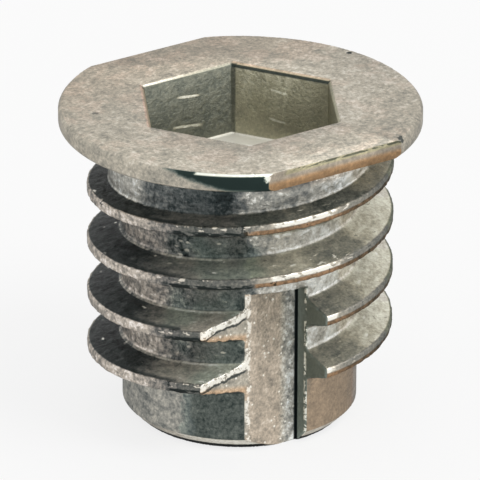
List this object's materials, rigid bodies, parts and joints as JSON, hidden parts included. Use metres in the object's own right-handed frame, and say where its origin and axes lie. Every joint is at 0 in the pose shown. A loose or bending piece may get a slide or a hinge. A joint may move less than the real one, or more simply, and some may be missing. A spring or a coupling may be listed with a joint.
{
  "type": "screw-in threaded insert",
  "caption": "Flanged screw-in insert with a coarse self-cutting outer ridge, two cutting notches, a hexagon socket and a through inner machine thread.",
  "frame": {"origin": "centre of the tip face, on the bore's axis", "axes": "+Z along the bore from the tip to the flange, +X along the length of the flange's two flats, which face -Y and +Y"},
  "size_m": [0.016, 0.0144, 0.0145],
  "materials": {
    "die_cast_zinc": "raw die-cast zinc, mottled and slightly tarnished"
  },
  "bodies": {
    "root": {"threaded_insert": "die_cast_zinc"}
  },
  "joints": []
}
